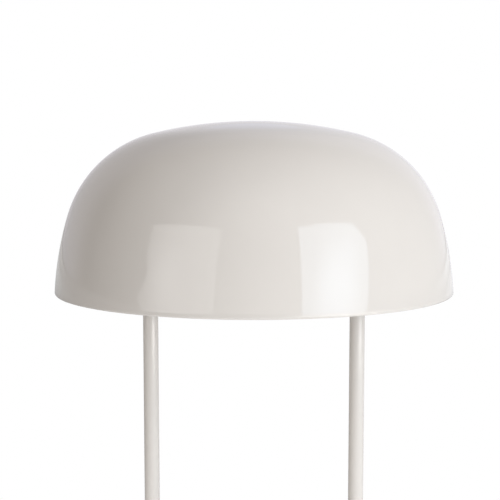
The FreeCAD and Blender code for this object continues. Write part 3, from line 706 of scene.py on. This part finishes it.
levels = [339.0 + 21.3 * k / 72 for k in range(73)]
p = [(13.7, z) for z in levels] + [(13.7, 361.5), (17.0, 361.5), (17.0, 360.9), (14.3, 360.9)] + [(14.3, z) for z in reversed(levels)]
put(lathe("holder_thread_rolled", p, 96, [FINISH["brass"]], wobble=sleeve_thread, sharp=45), "lamp", "brass", "holder_thread_sleeve")

# ---------------------------------------------------------------- bulb globe, bulb tip and the boss under the crown
GLOBE_R, GLOBE_T, GLOBE_Z, SEAM_Z = 22.5, 1.4, 307.5, 311.0


def bowl(r, n):
    """From the bottom of the globe up to the seam."""
    end = math.acos((GLOBE_Z - SEAM_Z) / r)
    return [(r * math.sin(end * k / n), GLOBE_Z - r * math.cos(end * k / n)) for k in range(n + 1)]


p = bowl(GLOBE_R, 44) + list(reversed(bowl(GLOBE_R - GLOBE_T, 40)))
put(lathe("bulb_globe_opal", p, 128, [FINISH["opal"]], closed=False, sharp=40), "bulb", "opal", "bulb_globe")

TIP_R, TIP_Z0, TIP_Z1 = 4.5, 359.0, 360.6
tip_r = (TIP_R ** 2 + (TIP_Z1 - TIP_Z0 - 0.5) ** 2) / (2 * (TIP_Z1 - TIP_Z0 - 0.5))
tip_a = math.degrees(math.asin(TIP_R / tip_r))
p = [(0.0, TIP_Z0), (TIP_R - 0.15, TIP_Z0), (TIP_R, TIP_Z0 + 0.15)] + list(reversed(arc((0.0, TIP_Z1 - tip_r), tip_r, 0.0, tip_a, 12)))
p[-1] = (0.0, TIP_Z1)
put(lathe("bulb_tip_contact", p, 64, [FINISH["brass"]], closed=False, sharp=40), "bulb_contact", "brass", "bulb_tip")

under_r = CROWN_R - SHEET_T
top = [(r, c1[1] + math.sqrt(under_r ** 2 - r ** 2)) for r in (19.7, 16.0, 12.0, 8.0, 4.0, 0.0)]
low = [(r, c1[1] + math.sqrt((under_r - 2.5) ** 2 - r ** 2)) for r in (11.2, 13.0, 15.0, 17.0, 19.6)]
weld = [(10.0 + 1.2 * (1 - math.cos(math.radians(t))), low[0][1] - 1.2 * (1 - math.sin(math.radians(t)))) for t in (0, 22.5, 45, 67.5)]
p = [(0.0, 425.0), (TAP_R, 425.0), (TAP_R, 416.0), (9.6, 416.0), (10.0, 416.4)] + weld + low + [(20.0, low[-1][1] + 0.4), (20.0, top[0][1] - 0.3)] + top
put(lathe("shade_boss_welded", p, 96, [FINISH["zinc_steel"]], closed=False, sharp=35), "lamp", "zinc_steel", "shade_boss")

# ---------------------------------------------------------------- finish of the parts that keep their own shape
slot_of = {d["node"]: d["material_slot"] for d in frame["record"]["subparts"]}
for n, o in nodes.items():
    o.data.materials.clear()
    o.data.materials.append(FINISH[slot_of[n]])

# ---------------------------------------------------------------- floor, light and camera
def smooth(nt, value, lo, hi, to_lo=0.0, to_hi=1.0):
    m = nt.nodes.new("ShaderNodeMapRange")
    m.interpolation_type = "SMOOTHSTEP"
    m.inputs["From Min"].default_value = lo
    m.inputs["From Max"].default_value = hi
    m.inputs["To Min"].default_value = to_lo
    m.inputs["To Max"].default_value = to_hi
    nt.links.new(value, m.inputs["Value"])
    return m.outputs["Result"]


def math_node(nt, op, a, b=None):
    m = nt.nodes.new("ShaderNodeMath")
    m.operation = op
    for i, v in enumerate((a, b)):
        if v is None:
            continue
        if isinstance(v, (int, float)):
            m.inputs[i].default_value = v
        else:
            nt.links.new(v, m.inputs[i])
    return m.outputs["Value"]


def toward(az, el):
    """Unit vector at an azimuth from the camera's side, positive to the right, and an elevation, in degrees."""
    az, el = math.radians(az), math.radians(el)
    return Vector((math.sin(az) * math.cos(el), -math.cos(az) * math.cos(el), math.sin(el)))


# painted pools of light that glow on the floor itself: azimuth and distance of the middle, radius, strength, colour
PAINTED_LIGHT_POOLS = ((45, 2.2, 1.4, 4.65, (1.04, 0.99, 0.96)), (45, 1.1, 0.8, 0.83, (0.97, 1.01, 1.02)), (55, 0.28, 0.65, 0.72, (0.99, 1.0, 1.01)), (90, 1.5, 1.2, 0.25, (0.98, 1.01, 0.97)),
         (155, 3.2, 2.2, 0.33, (0.95, 1.005, 1.08)), (147, 8.5, 7.0, 0.56, (0.95, 1.005, 1.07)), (-152, 4.0, 3.6, 0.33, (0.97, 1.01, 1.02)), (-146, 10.5, 9.0, 0.45, (1.01, 1.0, 0.99)), (-60, 0.28, 0.5, 0.37, (1.0, 1.0, 1.0)))
FLOOR_GAIN = 1.3


def floor_material():
    """Paper with painted light and shade: its colour is painted darker towards the left as shade, and painted pools of
    light glow on it as emission in place of the softboxes' light. In the picture it fades into the white background a
    little way from the lamp, and only the soft contact shadow shows."""
    m, nt, out = new_material("floor")
    vec = object_coords(nt)

    def distance(c):
        n = nt.nodes.new("ShaderNodeVectorMath")
        n.operation = "DISTANCE"
        nt.links.new(vec, n.inputs[0])
        n.inputs[1].default_value = c
        return n.outputs["Value"]

    shaded_paper = nt.nodes.new("ShaderNodeBsdfDiffuse")
    sep = nt.nodes.new("ShaderNodeSeparateXYZ")
    nt.links.new(vec, sep.inputs["Vector"])
    # painted shade: the paper's colour runs from 0.46 on the left to 0.82 on the right, so it throws back less light
    # from the left side
    nt.links.new(smooth(nt, sep.outputs["X"], -0.7, 0.5, 0.46, 0.82), shaded_paper.inputs["Color"])
    lit = shaded_paper.outputs["BSDF"]
    for az, d, r, strength, colour in PAINTED_LIGHT_POOLS:
        # painted light: each pool is emission from the floor itself, a glow that stands in for light falling on it
        em = nt.nodes.new("ShaderNodeEmission")
        em.inputs["Color"].default_value = (*colour, 1)
        nt.links.new(smooth(nt, distance(toward(az, 0) * d), 0.0, r, strength, 0.0), em.inputs["Strength"])
        both = nt.nodes.new("ShaderNodeAddShader")
        nt.links.new(lit, both.inputs[0])
        nt.links.new(em.outputs["Emission"], both.inputs[1])
        lit = both.outputs["Shader"]

    seen = nt.nodes.new("ShaderNodeBsdfDiffuse")
    seen.inputs["Color"].default_value = (FLOOR_GAIN, FLOOR_GAIN, FLOOR_GAIN, 1)
    blank = nt.nodes.new("ShaderNodeEmission")
    blank.inputs["Color"].default_value = (1, 1, 1, 1)
    fade = nt.nodes.new("ShaderNodeMixShader")
    nt.links.new(smooth(nt, distance((0.0, 0.0, 0.0)), 0.13, 0.35), fade.inputs["Fac"])
    nt.links.new(seen.outputs["BSDF"], fade.inputs[1])
    nt.links.new(blank.outputs["Emission"], fade.inputs[2])

    path = nt.nodes.new("ShaderNodeLightPath")
    mix = nt.nodes.new("ShaderNodeMixShader")
    nt.links.new(path.outputs["Is Camera Ray"], mix.inputs["Fac"])
    nt.links.new(lit, mix.inputs[1])
    nt.links.new(fade.outputs["Shader"], mix.inputs[2])
    clear = nt.nodes.new("ShaderNodeBsdfTransparent")
    geo = nt.nodes.new("ShaderNodeNewGeometry")
    one_sided = nt.nodes.new("ShaderNodeMixShader")
    nt.links.new(geo.outputs["Backfacing"], one_sided.inputs["Fac"])
    nt.links.new(mix.outputs["Shader"], one_sided.inputs[1])
    nt.links.new(clear.outputs["BSDF"], one_sided.inputs[2])
    nt.links.new(one_sided.outputs["Shader"], out.inputs["Surface"])
    return m


def floor_sheet():
    """A flat sheet, cut out under the foot so that light reaches the underside."""
    rings = [0.1035, 0.16, 0.4, 2.0, 20.0]
    n = 96
    verts, faces = [], []
    for r in rings:
        verts += [(r * math.cos(2 * math.pi * k / n), r * math.sin(2 * math.pi * k / n), -0.0001) for k in range(n)]
    for i in range(len(rings) - 1):
        for k in range(n):
            k2 = (k + 1) % n
            faces.append((i * n + k, (i + 1) * n + k, (i + 1) * n + k2, i * n + k2))
    return mesh_object("floor", verts, faces, [floor_material()], smooth=False)


floor_sheet()


# the room: soft light from above, in front, behind and from the right, and an unlit wall on the left
world = bpy.data.worlds.new("studio")
scene.world = world
world.use_nodes = True
wn = world.node_tree
wn.nodes.clear()
wo = wn.nodes.new("ShaderNodeOutputWorld")
room = wn.nodes.new("ShaderNodeBackground")
white = wn.nodes.new("ShaderNodeBackground")
white.inputs["Color"].default_value = (1, 1, 1, 1)
white.inputs["Strength"].default_value = 1.0
tc = wn.nodes.new("ShaderNodeTexCoord")


def along(d):
    n = wn.nodes.new("ShaderNodeVectorMath")
    n.operation = "DOT_PRODUCT"
    wn.links.new(tc.outputs["Generated"], n.inputs[0])
    n.inputs[1].default_value = d
    return n.outputs["Value"]


def tinted(strength, colour):
    n = wn.nodes.new("ShaderNodeVectorMath")
    n.operation = "SCALE"
    n.inputs[0].default_value = colour
    wn.links.new(strength, n.inputs["Scale"])
    return n.outputs["Vector"]


def vec_op(op, a, b):
    n = wn.nodes.new("ShaderNodeVectorMath")
    n.operation = op
    wn.links.new(a, n.inputs[0])
    wn.links.new(b, n.inputs[1])
    return n.outputs["Vector"]


# soft lobes of light: direction, where each starts and is full, strength, colour
LOBES = ((toward(-104.7, 8.7), 0.56, 0.09, 0.224, (1.025, 0.996, 0.965)), (toward(-90, 5), 0.45, -0.3, 0.335, (1.013, 0.997, 0.988)),
         (toward(0, 25), 0.55, 1.0, 0.372, (1.05, 0.99, 0.93)), (toward(90, 15), 0.6, 1.0, 0.096, (1.0, 1.0, 1.0)), (toward(60, 55), 0.6, 1.0, 0.10, (1.04, 0.99, 0.95)),
         (toward(156, 10), 0.6, 0.95, 0.165, (1.015, 0.987, 1.06)), (toward(190, 3), 0.456, 0.75, 0.197, (0.95, 0.988, 1.22)),
         (toward(-146, -3), 0.70, 1.0, 0.44, (1.045, 0.99, 0.955)), (toward(0, 90), 0.3, 1.0, 0.207, (1.02, 0.992, 1.02)), (toward(180, 19), 0.9955, 0.9988, 0.078, (0.79, 1.0, 1.74)))
level = None
for d, start, full, strength, colour in LOBES:
    lobe = tinted(smooth(wn, along(d), start, full, 0.0, strength) if start < full else smooth(wn, along(d), full, start, strength, 0.0), colour)
    level = lobe if level is None else vec_op("ADD", level, lobe)
wn.links.new(level, room.inputs["Color"])
room.inputs["Strength"].default_value = 1.0
path = wn.nodes.new("ShaderNodeLightPath")
mix = wn.nodes.new("ShaderNodeMixShader")
wn.links.new(path.outputs["Is Camera Ray"], mix.inputs["Fac"])
wn.links.new(room.outputs["Background"], mix.inputs[1])
wn.links.new(white.outputs["Background"], mix.inputs[2])
wn.links.new(mix.outputs["Shader"], wo.inputs["Surface"])


def softbox(name, az, u0, u1, h0, h1, colour, profile):
    """A softbox 3 m away that faces the lamp's axis. u runs sideways and h is the height on its face, in metres;
    profile gives the brightness there."""
    light = bpy.data.lights.new(name, "AREA")
    light.shape = "RECTANGLE"
    light.size, light.size_y = u1 - u0, h1 - h0
    light.color = colour
    light.energy = math.pi * (u1 - u0) * (h1 - h0)
    o = bpy.data.objects.new(name, light)
    scene.collection.objects.link(o)
    out = toward(az, 0)
    side = Vector((-out.y, out.x, 0.0))
    o.location = out * 3.0 + side * (u0 + u1) / 2 + Vector((0, 0, (h0 + h1) / 2))
    o.rotation_mode = "QUATERNION"
    o.rotation_quaternion = out.to_track_quat("Z", "Y")
    o.visible_camera = False
    light.use_nodes = True
    lt = light.node_tree
    em = next(n for n in lt.nodes if n.type == "EMISSION")
    geo = lt.nodes.new("ShaderNodeNewGeometry")
    sep = lt.nodes.new("ShaderNodeSeparateXYZ")
    lt.links.new(geo.outputs["Parametric"], sep.inputs["Vector"])
    u = remap(lt, sep.outputs["X"], 0, 1, u0, u1)
    h = remap(lt, sep.outputs["Y"], 0, 1, h0, h1)
    lt.links.new(profile(lt, u, h), em.inputs["Strength"])
    return o


def line(nt, u, h, ku, kh, c):
    """ku * u + kh * h + c"""
    return math_node(nt, "ADD", math_node(nt, "ADD", math_node(nt, "MULTIPLY", u, ku), math_node(nt, "MULTIPLY", h, kh)), c)


def product(nt, *values):
    v = values[0]
    for w in values[1:]:
        v = math_node(nt, "MULTIPLY", v, w)
    return v


def swell(nt, v, c, w):
    """1 at c, falling to 0 at w from it."""
    return smooth(nt, math_node(nt, "ABSOLUTE", math_node(nt, "SUBTRACT", v, c)), 0.0, w, 1.0, 0.0)


def right_profile(nt, u, h):
    """A dimmer frame round a brighter middle, with a rounded upper corner on the far side and a fold in the cloth near the top."""
    e = 0.015
    frame_mask = product(nt, smooth(nt, line(nt, u, h, 1, -0.055, 1.12), -e, e), smooth(nt, math_node(nt, "ADD", line(nt, u, h, -0.15, -1, 1.885), smooth(nt, u, -0.49, -0.45, -0.02, 0.03)), -e, e),
                         smooth(nt, line(nt, u, h, -1, -1, 2.62), -0.10, 0.05), smooth(nt, line(nt, u, h, -1, 0.29, 0.84), -e, e))
    slant = line(nt, u, h, 1, -0.29, 0.0)
    tall = swell(nt, h, 0.7, 1.3)
    mid = math_node(nt, "ADD", product(nt, tall, swell(nt, slant, -0.55, 0.55), 0.90), product(nt, tall, swell(nt, slant, 0.0, 0.75), 1.45))
    fold = math_node(nt, "SUBTRACT", 1.0, product(nt, swell(nt, line(nt, u, h, 0.24, 1, -1.50), 0.0, 0.035), smooth(nt, u, 0.2, 0.5, 0.09, 0.0)))
    return product(nt, frame_mask, fold, math_node(nt, "ADD", mid, 1.65))


def left_profile(nt, u, h):
    """Brightest left of its middle; the cloth of its outer edge hangs unevenly."""
    e = 0.015
    hang = math_node(nt, "ADD", product(nt, swell(nt, h, 0.85, 0.35), -0.13), product(nt, swell(nt, h, 0.40, 0.20), 0.15))
    mask = product(nt, smooth(nt, math_node(nt, "ADD", u, hang), -0.94, -0.91), smooth(nt, line(nt, u, h, -1, 0.075, 1.30), -e, e), smooth(nt, line(nt, u, h, 0.13, -1, 1.88), -e, e))
    glow = product(nt, swell(nt, u, -0.15, 0.8), swell(nt, h, 0.75, 1.05), 0.85)
    return product(nt, mask, math_node(nt, "ADD", glow, product(nt, smooth(nt, u, -1.0, -0.3, 0.86, 1.30), smooth(nt, u, 0.2, 1.4, 1.0, 0.68))))


softbox("softbox_right", 45, -1.2, 1.3, 0.02, 2.12, (0.862, 1.022, 1.195), right_profile)
softbox("softbox_left", -45, -1.12, 1.55, 0.10, 2.15, (1.01, 0.998, 0.99), left_profile)

scene.view_settings.view_transform = "Standard"
scene.view_settings.look = "None"

cam_data = bpy.data.cameras.new("camera")
cam = bpy.data.objects.new("camera", cam_data)
scene.collection.objects.link(cam)
cam_data.sensor_width = 36.0
cam_data.lens = 72.0
cam_data.clip_start, cam_data.clip_end = 0.05, 60.0
cam.location = (0.0, -0.7862, RIM_Z * MM + 0.10086)
pitch, yaw, roll = math.radians(5.065), math.radians(0.225), math.radians(0.0)
look = Vector((-math.sin(yaw) * math.cos(pitch), math.cos(yaw) * math.cos(pitch), -math.sin(pitch)))
cam.rotation_mode = "QUATERNION"
cam.rotation_quaternion = look.to_track_quat("-Z", "Y") @ Quaternion((0, 0, 1), roll)
scene.camera = cam
